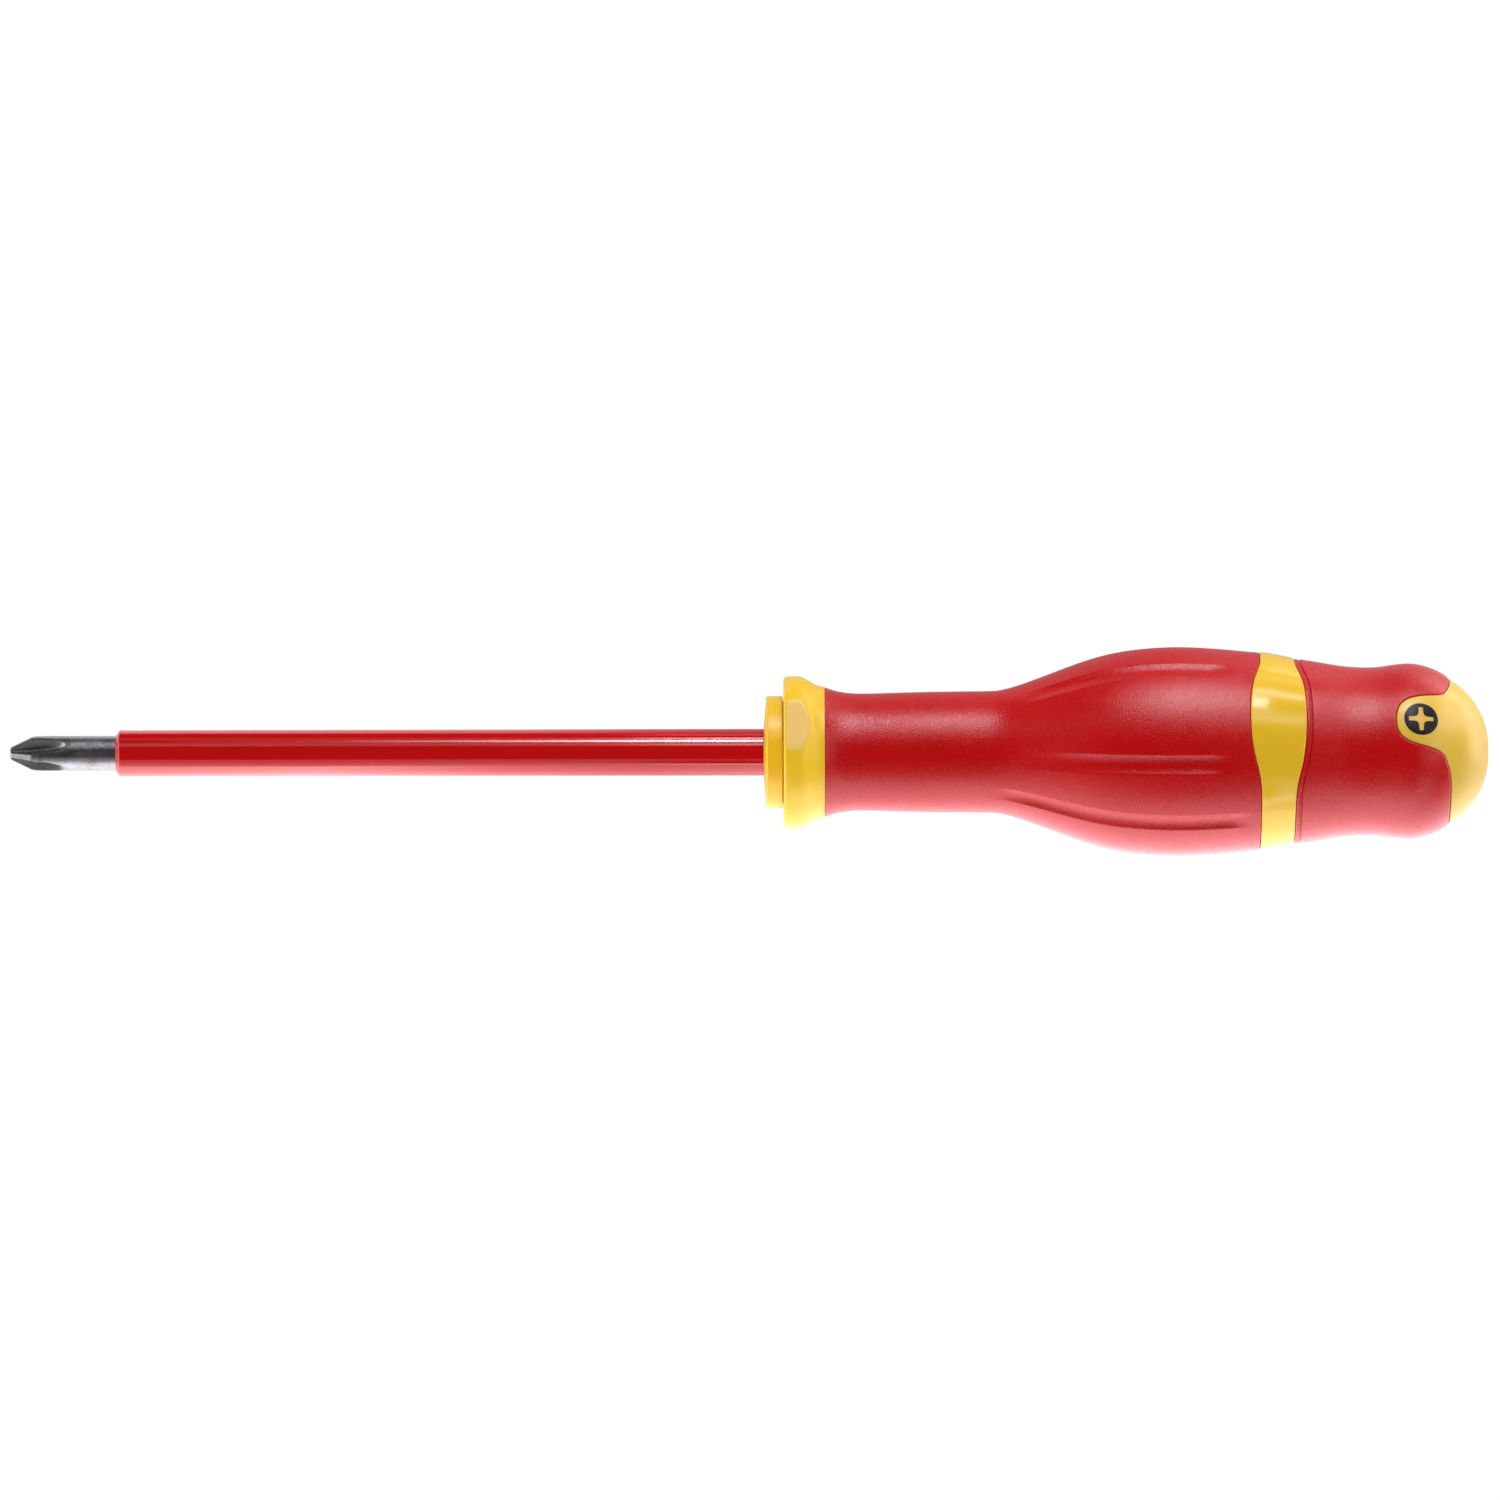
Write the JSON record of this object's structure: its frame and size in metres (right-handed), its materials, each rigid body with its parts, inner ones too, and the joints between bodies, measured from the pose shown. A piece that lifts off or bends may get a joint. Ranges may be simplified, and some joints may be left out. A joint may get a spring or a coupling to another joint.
{
  "type": "insulated screwdriver",
  "caption": "Insulated cross-head screwdriver with a slim sleeved blade, a guard flange with anti-roll flats and a two-tone contoured handle.",
  "frame": {"origin": "end of the drive tip, on the tool axis", "axes": "+X along the tool axis from the drive tip to the handle's end; +Z out of the handle's top anti-roll flat; +Y completes a right-handed frame"},
  "size_m": [0.245, 0.0346, 0.0346],
  "materials": {
    "blade_steel": "dark phosphated steel, satin, mottled",
    "sleeve_red": "glossy red insulating sleeve",
    "hard_yellow": "satin yellow hard plastic",
    "core_yellow": "hidden hard core, as moulded",
    "grip_red": "fine-grained matte red soft grip",
    "gloss_yellow": "glossy yellow band",
    "mark_black": "flat black inlay"
  },
  "bodies": {
    "root": {"blade": "blade_steel", "blade_sleeve": "sleeve_red", "nose_ring": "hard_yellow", "guard_flange": "hard_yellow", "handle_core": "core_yellow", "front_grip": "grip_red", "window_band": "gloss_yellow", "rear_grip": "grip_red", "end_cap": "hard_yellow", "drive_mark_top": "mark_black", "drive_mark_bottom": "mark_black"}
  },
  "joints": []
}
